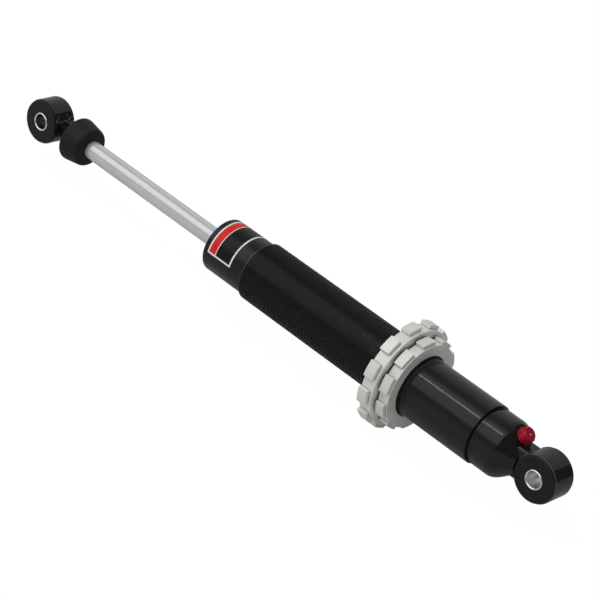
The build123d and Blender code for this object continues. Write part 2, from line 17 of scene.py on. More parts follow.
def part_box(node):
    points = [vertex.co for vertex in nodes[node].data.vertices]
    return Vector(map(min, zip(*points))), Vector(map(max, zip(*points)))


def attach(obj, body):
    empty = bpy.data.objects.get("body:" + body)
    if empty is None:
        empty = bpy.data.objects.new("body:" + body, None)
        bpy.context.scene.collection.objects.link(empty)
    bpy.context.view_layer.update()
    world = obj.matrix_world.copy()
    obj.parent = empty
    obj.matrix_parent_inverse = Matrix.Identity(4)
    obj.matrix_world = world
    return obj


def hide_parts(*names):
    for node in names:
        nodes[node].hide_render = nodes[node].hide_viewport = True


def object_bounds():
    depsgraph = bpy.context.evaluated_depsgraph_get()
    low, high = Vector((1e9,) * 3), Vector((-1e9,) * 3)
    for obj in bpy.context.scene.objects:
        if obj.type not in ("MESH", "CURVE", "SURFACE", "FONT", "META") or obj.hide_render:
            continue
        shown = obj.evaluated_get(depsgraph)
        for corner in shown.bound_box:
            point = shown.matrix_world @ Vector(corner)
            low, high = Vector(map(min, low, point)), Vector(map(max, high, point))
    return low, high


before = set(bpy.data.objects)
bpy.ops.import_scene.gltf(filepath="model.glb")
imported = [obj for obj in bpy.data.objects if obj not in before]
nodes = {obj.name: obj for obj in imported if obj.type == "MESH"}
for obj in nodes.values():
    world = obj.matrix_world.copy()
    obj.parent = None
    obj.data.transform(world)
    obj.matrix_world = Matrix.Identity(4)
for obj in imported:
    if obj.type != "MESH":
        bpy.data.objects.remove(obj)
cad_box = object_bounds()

MM = 0.001

# %% [markdown]
# The camera
#
# A long lens stands well back from the product, so parallel edges stay nearly parallel. Its
# place and its roll were worked out from the two eyes and the tube's edges. A camera looks
# along its own -Z, so the matrix takes three directions: right, up and backwards.

# %% Camera
camera_spot = Vector((-548.46, 1011.88, 702.10)) * MM
camera_right = Vector((-0.69283, -0.67977, 0.24062)).normalized()
camera_up = Vector((0.50007, -0.21251, 0.83951))
camera_back = camera_right.cross(camera_up).normalized()
camera_up = camera_back.cross(camera_right)
FOCAL_MM = 140.711
SENSOR_MM = 36.0

camera_data = bpy.data.cameras.new("camera")
camera_data.lens = FOCAL_MM
camera_data.sensor_width = SENSOR_MM
camera = bpy.data.objects.new("camera", camera_data)
axes = Matrix((camera_right, camera_up, camera_back)).transposed()
camera.matrix_world = Matrix.Translation(camera_spot) @ axes.to_4x4()
bpy.context.scene.collection.objects.link(camera)
bpy.context.scene.camera = camera
bpy.context.scene.view_settings.view_transform = "Standard"
print("camera is", round(camera_spot.length, 3), "m from the body eye")

# %% [markdown]
# Shader maths as plain sums
#
# A material is a graph of nodes. Wiring each Math node by hand hides what is meant, so a small
# class wraps one output of a node: `a * b + 0.2` on such outputs adds the two Math nodes. Every
# other node comes from one method, `node`, that takes its type, its settings and its inputs.

# %% Wrapped outputs and the node method
class Output:
    """One output of a node. Sums written with it add the Math nodes for them."""

    def __init__(self, shader, socket):
        self.shader = shader
        self.socket = socket

    def maths(self, operation, *values):
        inputs = dict(enumerate(values))
        return self.shader.node("ShaderNodeMath", {"operation": operation}, inputs)

    def __add__(self, other):
        return self.maths("ADD", self, other)

    def __radd__(self, other):
        return self.maths("ADD", other, self)

    def __sub__(self, other):
        return self.maths("SUBTRACT", self, other)

    def __rsub__(self, other):
        return self.maths("SUBTRACT", other, self)

    def __mul__(self, other):
        return self.maths("MULTIPLY", self, other)

    def __rmul__(self, other):
        return self.maths("MULTIPLY", other, self)

    def absolute(self):
        return self.maths("ABSOLUTE", self)

    def to_power(self, exponent):
        return self.maths("POWER", self, exponent)

    def modulo(self, period):
        return self.maths("MODULO", self, period)

    def above(self, level):
        """1 where this is over the level, else 0."""
        return self.maths("GREATER_THAN", self, level)

    def below(self, level):
        """1 where this is under the level, else 0."""
        return self.maths("LESS_THAN", self, level)

    def angle_over(self, base):
        """The angle whose tangent is this over the base, in radians."""
        return self.maths("ARCTAN2", self, base)

    def clamped(self):
        """This, held between 0 and 1."""
        return self.shader.node("ShaderNodeClamp", inputs={0: self})


class Shader:
    """A node tree that grows by one call for each node."""

    def __init__(self, tree):
        self.tree = tree
        tree.nodes.clear()

    def node(self, kind, settings=None, inputs=None, output=0):
        made = self.tree.nodes.new(kind)
        for name, value in (settings or {}).items():
            if name == "stops":
                self.set_stops(made.color_ramp, value)
            else:
                setattr(made, name, value)
        for name, value in (inputs or {}).items():
            if isinstance(value, Output):
                self.tree.links.new(value.socket, made.inputs[name])
            else:
                made.inputs[name].default_value = value
        return Output(self, made.outputs[output]) if len(made.outputs) else made

    @staticmethod
    def set_stops(ramp, stops):
        """Fill a ramp with (place, grey or colour) pairs."""
        while len(ramp.elements) < len(stops):
            ramp.elements.new(1.0)
        for element, (place, colour) in zip(ramp.elements, stops):
            element.position = place
            element.color = rgba(colour)

    def mix(self, factor, first, second):
        """Blend two colours."""
        inputs = {0: factor, 6: first, 7: second}
        inputs = {key: rgba(v) if key > 0 else v for key, v in inputs.items()}
        return self.node("ShaderNodeMix", {"data_type": "RGBA"}, inputs, 2)

    def noise(self, scale, detail=2.0, stretch=(1, 1, 1)):
        """Noise with `scale` cells in a metre, squeezed along the axes by `stretch`."""
        point = self.node("ShaderNodeTexCoord", output="Object")
        point = self.node("ShaderNodeVectorMath", {"operation": "MULTIPLY"}, {0: point, 1: stretch})
        inputs = {"Vector": point, "Scale": scale, "Detail": detail}
        return self.node("ShaderNodeTexNoise", {}, inputs)

    def split(self, vector):
        """The three parts of a vector."""
        parts = self.node("ShaderNodeSeparateXYZ", inputs={0: vector}).socket.node.outputs
        return [Output(self, part) for part in parts]

    def place(self):
        """The three coordinates of the point, in metres."""
        return self.split(self.node("ShaderNodeTexCoord", output="Object"))

    def along_and_around(self):
        """The distance along the shock, the radius and the angle from +Y towards +Z."""
        x, y, z = self.place()
        flat = self.node("ShaderNodeCombineXYZ", inputs={1: y, 2: z})
        radius = self.node("ShaderNodeVectorMath", {"operation": "LENGTH"}, {0: flat}, "Value")
        return x, radius, z.angle_over(y)

    def openness(self, reach):
        """How much of the space round the point is open within `reach` metres, from 0 to 1."""
        return self.node("ShaderNodeAmbientOcclusion", {"samples": 16}, {"Distance": reach}, "AO")

    def bump(self, height, distance):
        """A normal that is tilted by a height, of which 1 is worth `distance` metres."""
        return self.node("ShaderNodeBump", {}, {"Height": height, "Distance": distance})


def rgba(value):
    """A grey or an RGB triple as the four numbers that a colour socket takes."""
    if isinstance(value, Output):
        return value
    if isinstance(value, (int, float)):
        return (value, value, value, 1.0)
    return (*value[:3], 1.0)


print("helpers ready")

# %% [markdown]
# One way to start every finish
#
# Each finish is a Principled shader. It could be a picture wrapped round the part, but noise and
# the point's own coordinates need no unwrapping and stay sharp at any distance. What is the same
# all over the surface is set on the shader's own socket, and only what changes from place to
# place is a link: the colour, the roughness, the normal and now and then the metallic share.

# %% Finish helper
def finish(name, paint, specular=0.5, metallic=0.0):
    """Make a material. `paint(shader)` returns its links as a dict of socket and output."""
    material = bpy.data.materials.new(name)
    material.use_nodes = True
    shader = Shader(material.node_tree)
    constants = {"Specular IOR Level": specular, "Metallic": metallic}
    surface = shader.node("ShaderNodeBsdfPrincipled", {}, {**constants, **paint(shader)})
    shader.node("ShaderNodeOutputMaterial", {}, {"Surface": surface})
    print("finish", name, "has", len(material.node_tree.nodes), "nodes")
    return material


def dress(material, *names):
    """Give engineering nodes a finish through their material slots."""
    for name in names:
        mesh = nodes[name].data
        if not mesh.materials:
            mesh.materials.append(material)
        for slot in nodes[name].material_slots:
            slot.material = material


print("finish helpers ready")

# %% [markdown]
# Black anodised aluminium
#
# The tube and its end cap are turned aluminium, hard anodised black. Close up it is a dark grey
# coat with faint rings left by the lathe, fine dust-like speckle, and a gloss that changes a
# little from place to place. The rings are noise that is stretched hard round the axis: it
# reads the distance along the shock and hardly anything else. On the thread the colour follows
# the radius: the crests are burnished paler by the rings, and the roots are painted shade, a
# black metal that throws back hardly any light. The rounded edges of the eye are painted paler,
# partly rubbed paint where they meet the clevis and partly a painted highlight.

# %% Black anodised finish
BLACK = 0.0105
CREST_R = 20.0 * MM
CREST_WEAR = 0.08 * MM
CREST_TONE = (0.057, 0.057, 0.059)
LOOP_R = 15.0 * MM
LOOP_HALF_W = 8.15 * MM
RUBBED_AND_LIT_W = 0.45 * MM
RUBBED_AND_LIT_TONE = (0.075, 0.075, 0.077)


def paint_black(shader, gloss, ring_depth=0.6e-6, shade=1.0):
    lathe = shader.noise(900.0, 3.0, (1.0, 0.02, 0.02))
    cloud = shader.noise(45.0, 4.0)
    speckle = shader.noise(2600.0, 1.0)
    tone = BLACK * shade
    colour = shader.mix(cloud, tone * 0.8, (tone * 1.25, tone * 1.22, tone * 1.24))
    roughness = gloss + (cloud - 0.5) * 0.10 + (speckle - 0.5) * 0.08
    height = lathe * 0.8 + speckle * 0.2
    return {
        "Base Color": colour,
        "Roughness": roughness,
        "Normal": shader.bump(height, ring_depth),
    }


def paint_thread(shader):
    links = paint_black(shader, 0.14, shade=0.1)
    _, radius, _ = shader.along_and_around()
    # Below the crest band, the roots and flanks are painted shade: a black metal that throws back
    # hardly any light.
    painted_root_shade = ((CREST_R - radius) * (1 / CREST_WEAR)).clamped()
    links["Base Color"] = shader.mix(painted_root_shade, CREST_TONE, links["Base Color"])
    links["Metallic"] = painted_root_shade
    return links


def paint_cap(shader):
    links = paint_black(shader, 0.13)
    x, y, _ = shader.place()
    # Paler rim edges of the eye: partly rubbed paint, partly a painted highlight.
    rubbed_and_lit_rim = y.absolute().above(LOOP_HALF_W - RUBBED_AND_LIT_W) * x.below(LOOP_R)
    links["Base Color"] = shader.mix(rubbed_and_lit_rim, links["Base Color"], RUBBED_AND_LIT_TONE)
    return links


gloss_black = finish("gloss_black_anodised", lambda s: paint_black(s, 0.11), specular=0.34)
cap_black = finish("cap_black_anodised", paint_cap, specular=0.36)
thread_black = finish("thread_black_anodised", paint_thread, specular=0.65)
neck_black = finish("neck_satin_black", lambda s: paint_black(s, 0.28, 1.2e-6), specular=0.34)
dress(cap_black, "body_end_cap")
dress(neck_black, "seal_head")

# %% [markdown]
# Paint and rubber
#
# The rod eye is steel under thick gloss paint, which is never quite flat: a slow wave in the
# normal bends its reflections. Beside its boss, thin wavy lines of paler colour are painted
# highlights, and the boss itself is painted shade, a black metal as in the thread's roots. The
# bump stop is moulded rubber, with a matte skin and a fine grain. The bushings are a moulded
# polymer, between the two, with one thin moulded line round their faces.

# %% Painted steel, rubber and polymer
ROD_EYE_X = 441.0 * MM
LINE_R = 11.2 * MM
LINE_HALF_W = 0.3 * MM
HIGHLIGHT_LINE_REACH = 11.6 * MM
HIGHLIGHT_LINE_HALF_W = 0.024
HIGHLIGHT_LINE_TONE = (0.17, 0.17, 0.175)
SHADED_BOSS_REACH = 14.6 * MM


def paint_enamel(shader):
    orange_peel = shader.noise(420.0, 2.0)
    cloud = shader.noise(60.0, 3.0)
    x, _, z = shader.place()
    # The boss is painted shade: a black metal that throws back next to nothing.
    painted_shade_on_boss = x.below(ROD_EYE_X - SHADED_BOSS_REACH)
    beside_boss = x.below(ROD_EYE_X - HIGHLIGHT_LINE_REACH) * z.above(0.0)
    waves = (shader.noise(210.0, 1.0) - 0.5).absolute()
    # Thin wavy paler lines beside the boss are painted highlights.
    painted_highlight_lines = waves.below(HIGHLIGHT_LINE_HALF_W) * beside_boss * (1.0 - painted_shade_on_boss)
    colour = shader.mix(cloud, BLACK * 0.5, BLACK * 0.9)
    return {
        "Base Color": shader.mix(painted_highlight_lines, colour, HIGHLIGHT_LINE_TONE),
        "Metallic": painted_shade_on_boss,
        "Roughness": 0.07 + cloud * 0.08,
        "Normal": shader.bump(orange_peel, 34e-6),
    }


def paint_rubber(shader):
    grain = shader.noise(2200.0, 3.0)
    bloom = shader.noise(70.0, 4.0)
    return {
        "Base Color": shader.mix(bloom, 0.0065, (0.0135, 0.0132, 0.0130)),
        "Roughness": 0.52 + bloom * 0.16,
        "Normal": shader.bump(grain, 18e-6),
    }


def paint_polymer(shader, eye_x):
    grain = shader.noise(3000.0, 2.0)
    cloud = shader.noise(90.0, 3.0)
    x, _, z = shader.place()
    across = x - eye_x
    radius = (across * across + z * z).to_power(0.5)
    moulded_line = (radius - LINE_R).absolute().below(LINE_HALF_W)
    return {
        "Base Color": shader.mix(cloud, 0.006, 0.0105),
        "Roughness": 0.30 + cloud * 0.14,
        "Normal": shader.bump(grain * 0.05 + moulded_line * -1.0, 120e-6),
    }


enamel = finish("gloss_black_enamel", paint_enamel, specular=0.48)
rubber = finish("moulded_rubber", paint_rubber, specular=0.3)
dress(enamel, "rod_eye")
dress(rubber, "bump_stop", "end_cap_o_ring", "valve_o_ring", "valve_cap_seal",
      "seal_head_o_ring", "rod_seal", "rod_wiper", "floating_piston_o_ring")
for eye, eye_x in (("body_eye", 0.0), ("rod_eye", ROD_EYE_X)):
    polymer = finish(f"{eye}_polymer", lambda s: paint_polymer(s, eye_x), specular=0.28)
    dress(polymer, f"{eye}_bushing_front", f"{eye}_bushing_back")

# %% [markdown]
# Chrome, zinc and steel
#
# The rod is ground round and then hard chromed, so its faint lay runs round it and its
# reflections stretch into long lines. An oil film hazes it, so it isn't fully metallic here.
# Beside the bump stop, where the ambient-occlusion node finds it hemmed in, the rod is painted
# darker: painted shade and a painted reflection of the black rubber. Zinc plating on the sleeves
# and washers is duller and slightly warm, with a crystalline bloom. The sleeves' ends are rubbed
# bright by the clevis. Each bore is painted part way towards another tone: painted light in the
# body eye, and painted shade in the rod eye.

# %% Bright metals
STOP_SHADE_REACH = 5.0 * MM
STOP_SHADE_TONE = (0.10, 0.10, 0.13)
RIM_W = 0.5 * MM
RIM_TONE = (0.90, 0.90, 0.89)


def paint_chrome(shader):
    lay = shader.noise(5000.0, 2.0, (1.0, 0.05, 0.05))
    cloud = shader.noise(30.0, 3.0, (0.4, 1.0, 1.0))
    colour = shader.mix(cloud, (0.74, 0.75, 0.765), (0.82, 0.83, 0.85))
    # Painted shade and painted reflection of the black bump stop, where the rod is hemmed in.
    painted_shade_by_stop = (0.84 - shader.openness(STOP_SHADE_REACH)) * 3.0
    return {
        "Base Color": shader.mix(painted_shade_by_stop, colour, STOP_SHADE_TONE),
        "Roughness": 0.15 + cloud * 0.05,
        "Normal": shader.bump(lay, 0.25e-6),
    }


def paint_zinc(shader):
    bloom = shader.noise(500.0, 4.0)
    scratches = shader.noise(1800.0, 2.0, (1.0, 0.08, 1.0))
    return {
        "Base Color": shader.mix(bloom, (0.42, 0.43, 0.41), (0.66, 0.67, 0.64)),
        "Roughness": 0.20 + bloom * 0.18,
        "Normal": shader.bump(scratches, 4e-6),
    }


def paint_sleeve(shader, half_length, painted_bore_share, painted_bore_tone):
    links = paint_zinc(shader)
    _, y, _ = shader.place()
    rim = y.absolute().above(half_length - RIM_W)
    # The bore is painted part way towards a given tone: painted light in the body eye, painted shade
    # in the rod eye.
    bore = shader.mix(painted_bore_share, links["Base Color"], painted_bore_tone)
    links["Base Color"] = shader.mix(rim, bore, RIM_TONE)
    return links


def paint_shim(shader):
    temper = shader.noise(160.0, 3.0)
    return {
        "Base Color": shader.mix(temper, (0.30, 0.34, 0.42), (0.48, 0.46, 0.44)),
        "Roughness": 0.22 + temper * 0.15,
    }


def paint_turned(shader):
    lathe = shader.noise(1200.0, 3.0, (1.0, 0.05, 0.05))
    return {
        "Base Color": shader.mix(lathe, (0.62, 0.62, 0.63), (0.75, 0.75, 0.76)),
        "Roughness": 0.26 + lathe * 0.12,
        "Normal": shader.bump(lathe, 3e-6),
    }


BODY_SLEEVE_HALF = 9.9 * MM
ROD_SLEEVE_HALF = 9.0 * MM
# Bore tones: painted light for the body eye's bore, painted shade for the rod eye's bore.
PAINTED_BORE_LIGHT = (0.95, 0.98, 0.94)
PAINTED_BORE_SHADE = (0.03, 0.029, 0.026)


def paint_lit_bore_sleeve(shader):
    return paint_sleeve(shader, BODY_SLEEVE_HALF, 0.42, PAINTED_BORE_LIGHT)


def paint_shaded_bore_sleeve(shader):
    return paint_sleeve(shader, ROD_SLEEVE_HALF, 0.6, PAINTED_BORE_SHADE)


chrome = finish("ground_chrome", paint_chrome, metallic=0.42)
zinc = finish("zinc_plate", paint_zinc, metallic=1.0)
lit_bore_sleeve = finish("lit_bore_sleeve", paint_lit_bore_sleeve, metallic=1.0)
shaded_bore_sleeve = finish("shaded_bore_sleeve", paint_shaded_bore_sleeve, metallic=1.0)
shim_steel = finish("tempered_shim_steel", paint_shim, metallic=1.0)
turned_aluminium = finish("turned_aluminium", paint_turned, metallic=1.0)
dress(chrome, "piston_rod")
dress(zinc, "bump_stop_washer", "retaining_ring", "piston_nut", "top_out_plate")
dress(lit_bore_sleeve, "body_eye_sleeve")
dress(shaded_bore_sleeve, "rod_eye_sleeve")
dress(shim_steel, "compression_shims", "rebound_shims")
dress(turned_aluminium, "main_piston", "floating_piston")

# %% [markdown]
# The gas valve and the bearing bands
#
# The valve stem is black zinc-plated, its pin is plain brass, and the dust cap over them is
# anodised red. The dye goes deepest on corners, so the cap's colour wanders a little, and the
# small dimple in the middle of its top is bare and bright. The guide bushing and the wear bands
# are brown bearing polymer, flecked with solid lubricant.

# %% Brass, black zinc, red anodising and bearing polymer
VALVE_X = 21.2 * MM
VALVE_Z = 13.6 * MM
DIMPLE_R = 0.55 * MM


def paint_brass(shader):
    tarnish = shader.noise(700.0, 4.0)
    return {
        "Base Color": shader.mix(tarnish, (0.50, 0.34, 0.12), (0.68, 0.52, 0.24)),
        "Roughness": 0.22 + tarnish * 0.22,
    }


def paint_black_zinc(shader):
    tarnish = shader.noise(600.0, 3.0)
    return {
        "Base Color": shader.mix(tarnish, 0.03, 0.20),
        "Roughness": 0.16 + tarnish * 0.2,
    }


def paint_red(shader):
    dye = shader.noise(420.0, 3.0)
    grain = shader.noise(3600.0, 2.0)
    x, y, z = shader.place()
    across = (x - VALVE_X + z - VALVE_Z) * math.sqrt(0.5)
    dimple = (across * across + y * y).below(DIMPLE_R ** 2)
    red = shader.mix(dye, (0.38, 0.004, 0.020), (0.64, 0.012, 0.052))
    return {
        "Base Color": shader.mix(dimple, red, (0.85, 0.72, 0.70)),
        "Roughness": 0.20 + dye * 0.14,
        "Normal": shader.bump(grain, 5e-6),
    }


def paint_bearing(shader):
    fleck = shader.noise(2600.0, 2.0)
    return {
        "Base Color": shader.mix(fleck, (0.16, 0.075, 0.03), (0.36, 0.21, 0.10)),
        "Roughness": 0.45 + fleck * 0.15,
    }


brass = finish("machined_brass", paint_brass, metallic=1.0)
black_zinc = finish("black_zinc", paint_black_zinc, metallic=1.0)
red_anodised = finish("red_anodised", paint_red, metallic=0.35)
bearing = finish("bearing_polymer", paint_bearing)
dress(brass, "valve_pin")
dress(black_zinc, "valve_stem")
dress(red_anodised, "valve_cap")
dress(bearing, "rod_bushing", "piston_band", "floating_piston_band", "top_out_bumper")

# %% [markdown]
# Sand-cast, clear-anodised rings
#
# The two spring-seat rings are pale warm grey and matte, blasted before they were anodised. A
# partly metallic shader with a high roughness keeps them soft, and three scales of noise give the
# blasted grain, the small pits and the faint clouding. The corners between lug and rim, where the
# ambient-occlusion node finds little open space, are painted darker as painted shade. Read again
# with a longer reach, it finds the slit between both rings, which is painted black as painted
# shade, a black metal that throws back nothing.

# %% Ring finish
CORNER_REACH = 1.3 * MM
SLIT_REACH = 3.5 * MM
PIT_TONE = (0.46, 0.46, 0.44)
CORNER_SHADE_TONE = (0.05, 0.049, 0.045)


def paint_ring(shader):
    blast = shader.noise(1500.0, 4.0)
    cloud = shader.noise(90.0, 4.0)
    pits = shader.noise(700.0, 2.0)
    colour = shader.mix(cloud, (0.86, 0.86, 0.82), (0.96, 0.96, 0.92))
    colour = shader.mix(pits.below(0.33) * 0.35, colour, PIT_TONE)
    # Painted shade in the corners between lug and rim.
    painted_corner_shade = (0.86 - shader.openness(CORNER_REACH)) * 1.9
    colour = shader.mix(painted_corner_shade, colour, CORNER_SHADE_TONE)
    # Painted shade: the slit between both rings is a black metal.
    painted_slit_shade = ((0.34 - shader.openness(SLIT_REACH)) * 6.0).clamped()
    return {
        "Base Color": shader.mix(painted_slit_shade, colour, 0.003),
        "Roughness": 0.44 + blast * 0.16,
        "Metallic": 0.25 + painted_slit_shade * 0.75,
        "Normal": shader.bump(blast, 26e-6),
    }


ring_grey = finish("clear_anodised_casting", paint_ring)

# %% [markdown]
# Lofting rings of points
#
# The threaded tube and the decal are skins through rings of points. They could be a screw
# modifier or a sweep, but a list of stations is easier to reason about: one helper joins each ring
# to the next with quads, and the other welds the points that meet and makes the mesh a piece.

# %% Skin through rings of points
WELD = 0.0001 * MM


def add_piece(name, mesh_builder, material, body, smooth_angle=30.0):
    """Turn a bmesh into a piece that rides on a body and is smooth but for its sharp edges."""
    bmesh.ops.remove_doubles(mesh_builder, verts=mesh_builder.verts, dist=WELD)
    bmesh.ops.dissolve_degenerate(mesh_builder, dist=WELD, edges=mesh_builder.edges)
    bmesh.ops.recalc_face_normals(mesh_builder, faces=mesh_builder.faces)
    for face in mesh_builder.faces:
        face.smooth = True
    for edge in mesh_builder.edges:
        edge.smooth = edge.calc_face_angle(0.0) < math.radians(smooth_angle)
    mesh = bpy.data.meshes.new(name)
    mesh_builder.to_mesh(mesh)
    mesh_builder.free()
    mesh.materials.append(material)
    piece = bpy.data.objects.new(name, mesh)
    bpy.context.scene.collection.objects.link(piece)
    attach(piece, body)
    print(name, "has", len(mesh.polygons), "faces")
    return piece


def skin(mesh_builder, rings):
    """Join rings of points with quads."""
    vertex_rings = [[mesh_builder.verts.new(point) for point in ring] for ring in rings]
    for near, far in zip(vertex_rings, vertex_rings[1:]):
        for index in range(len(near)):
            after = (index + 1) % len(near)
            mesh_builder.faces.new((near[index], near[after], far[after], far[index]))


def around(x, radius, angle):
    """A point at a place along the shock, a radius and an angle from +Y towards +Z."""
    return (x, radius * math.cos(angle), radius * math.sin(angle))


print("lofting helpers ready")

# %% [markdown]
# The threaded body tube
#
# The spring seat is moved along a fine thread, 1.25 mm from crest to crest, cut over most of the
# tube. Each station of the thread is a ring that is sheared by one pitch in one turn, so its
# points run along a true helix: crest, flank, root and flank. Stations that would run past the
# end of the thread are held there, and welding removes what collapses.

# %% Body tube with a real helix
tube_low, tube_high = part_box("body_tube")
tube_start, tube_end = tube_low[0], tube_high[0]
SMOOTH_LEN = 51.8 * MM
THREAD_LEN = 140.1 * MM
SMOOTH_R = 19.85 * MM
NECK_R = 18.3 * MM
BORE_R = 16.5 * MM
PITCH = 1.25 * MM
THREAD_DEPTH = 0.62 * MM
RUN_OUT = 1.6 * MM
THREAD_CHAMFER = 0.6 * MM
EDGE = 0.6 * MM
ROUND_POINTS = 128
thread_start = tube_start + SMOOTH_LEN
thread_end = thread_start + THREAD_LEN - THREAD_CHAMFER

# One pitch of the thread: how far along it, and how deep
THREAD_SHAPE = ((0.0, 0.0), (0.20, 0.0), (0.48, 1.0), (0.72, 1.0))


def plain_ring(x, radius):
    return [around(x, radius, 2 * math.pi * i / ROUND_POINTS) for i in range(ROUND_POINTS)]


def thread_ring(turn, place, depth):
    """One station of the thread, sheared by a pitch over its turn and held inside the thread."""
    points = []
    for i in range(ROUND_POINTS):
        share = i / ROUND_POINTS
        x = thread_start + (turn + place - 1 + share) * PITCH
        x = min(max(x, thread_start), thread_end)
        fade = max(0.0, min(1.0, (x - thread_start) / RUN_OUT, (thread_end - x) / RUN_OUT))
        radius = CREST_R - THREAD_DEPTH * depth * fade
        points.append(around(x, radius, 2 * math.pi * share))
    return points


def thread_surface(mesh_builder):
    """The helical skin. Its seam joins each ring's last point to the ring one pitch further on."""
    turns = math.ceil(THREAD_LEN / PITCH) + 2
    stations = [(turn, place, depth) for turn in range(turns) for place, depth in THREAD_SHAPE]
    rows = [[mesh_builder.verts.new(p) for p in thread_ring(*station)] for station in stations]
    steps = len(THREAD_SHAPE)
    for near, far in zip(rows, rows[1:]):
        for i in range(ROUND_POINTS - 1):
            mesh_builder.faces.new((near[i], near[i + 1], far[i + 1], far[i]))
    for index in range(len(rows) - steps - 1):
        near, far = rows[index], rows[index + 1]
        near_next, far_next = rows[index + steps], rows[index + steps + 1]
        mesh_builder.faces.new((near[-1], near_next[0], far_next[0], far[-1]))


tube = bmesh.new()
thread_surface(tube)
skin(tube, [
    plain_ring(thread_end, CREST_R),
    plain_ring(thread_end + THREAD_CHAMFER, CREST_R - THREAD_CHAMFER),
    plain_ring(thread_end + THREAD_CHAMFER, NECK_R),
    plain_ring(tube_end - EDGE, NECK_R),
    plain_ring(tube_end - EDGE / 3, NECK_R - EDGE / 3),
    plain_ring(tube_end, NECK_R - EDGE),
    plain_ring(tube_end, BORE_R + EDGE),
    plain_ring(tube_end - EDGE, BORE_R),
    plain_ring(tube_start + EDGE, BORE_R),
    plain_ring(tube_start, BORE_R + EDGE),
    plain_ring(tube_start, SMOOTH_R - EDGE),
    plain_ring(tube_start + EDGE / 3, SMOOTH_R - EDGE / 3),
    plain_ring(tube_start + EDGE, SMOOTH_R),
    plain_ring(thread_start, SMOOTH_R),
    plain_ring(thread_start, CREST_R),
])
threaded_tube = add_piece(
    "threaded_body_tube", tube, gloss_black, "shock_body", smooth_angle=25.0,
)
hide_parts("body_tube")

# %% [markdown]
# Three finishes on one tube
#
# The tube is glossy where the rings never go, duller on the thread, and satin on the neck. The
# faces choose their finish by where their middle lies.

# %% Finish zones of the tube
THREAD_ZONE = 1
NECK_ZONE = 2
threaded_tube.data.materials.append(thread_black)
threaded_tube.data.materials.append(neck_black)
for face in threaded_tube.data.polygons:
    if thread_start < face.center.x < thread_end:
        face.material_index = THREAD_ZONE
    elif face.center.x > thread_end:
        face.material_index = NECK_ZONE
zones = [face.material_index for face in threaded_tube.data.polygons]
print("faces on the thread:", zones.count(THREAD_ZONE), "and on the neck:", zones.count(NECK_ZONE))

# %% [markdown]
# Castellated rings, built from filled cells
#
# A castellated ring is a bored disc with lugs for a hook spanner. Instead of cutting notches, the
# space is divided into cells by angle, radius and distance along the shock, the cells that hold
# metal are named, and a face is made wherever metal meets air. Bevelled edges then catch the
# light as the rounded edges of a casting do. Each ring ends in a narrower hub: on the spring seat
# it is the collar that centres the spring, and on the lock ring a shallow step, which leaves a
# dark line between both rings.

# %% Cell builder
def cell_mesh(angles, radii, stations, filled, flare):
    """A closed mesh of the polar cells for which filled(angle, radius, station index) is true.

    The bore is wider by `flare` at both its ends, which chamfers it.
    """
    mesh_builder = bmesh.new()
    known = {}
    count = len(angles)

    def corner(i, k, j):
        key = (i % count, k, j)
        if key not in known:
            widened = flare if k == 0 and j in (0, len(stations) - 1) else 0.0
            point = around(stations[j], radii[k] + widened, angles[key[0]])
            known[key] = mesh_builder.verts.new(point)
        return known[key]

    def metal(i, k, j):
        inside = 0 <= k < len(radii) - 1 and 0 <= j < len(stations) - 1
        return inside and filled(i % count, k, j)

    for i in range(count):
        for k in range(len(radii) - 1):
            for j in range(len(stations) - 1):
                if not metal(i, k, j):
                    continue
                sides = (
                    ((i, k + 1, j), ((0, 1, 0), (0, 1, 1), (1, 1, 1), (1, 1, 0))),
                    ((i, k - 1, j), ((0, 0, 0), (1, 0, 0), (1, 0, 1), (0, 0, 1))),
                    ((i, k, j + 1), ((0, 0, 1), (1, 0, 1), (1, 1, 1), (0, 1, 1))),
                    ((i, k, j - 1), ((0, 0, 0), (0, 1, 0), (1, 1, 0), (1, 0, 0))),
                    ((i + 1, k, j), ((1, 0, 0), (1, 1, 0), (1, 1, 1), (1, 0, 1))),
                    ((i - 1, k, j), ((0, 0, 0), (0, 0, 1), (0, 1, 1), (0, 1, 0))),
                )
                for neighbour, corners in sides:
                    if not metal(*neighbour):
                        mesh_builder.faces.new([corner(i + a, k + b, j + c) for a, b, c in corners])
    return mesh_builder


def lug_angles(count, first, half_width, steps):
    """Angles round a ring with an edge at each lug's side, and which cells are lugs."""
    angles, is_lug = [], []
    gap = 2 * math.pi / count - 2 * half_width
    for lug in range(count):
        middle = first + 2 * math.pi * lug / count
        for step in range(steps):
            angles.append(middle - half_width + 2 * half_width * step / steps)
            is_lug.append(True)
        for step in range(steps):
            angles.append(middle + half_width + gap * step / steps)
            is_lug.append(False)
    return angles, is_lug


print("cell builder ready")

# %% The two rings
RING_BORE_R = CREST_R + 0.05 * MM
BORE_CHAMFER = 1.0 * MM
CAST_EDGE = 0.13 * MM
SHARP_ANGLE = 40.0
LUG_STEPS = 6

# Layers of cells from the bore outwards, and the slab along the shock that holds the lugs
HUB_LAYER = 0
LUG_LAYER = 2
LUG_SLAB = 1


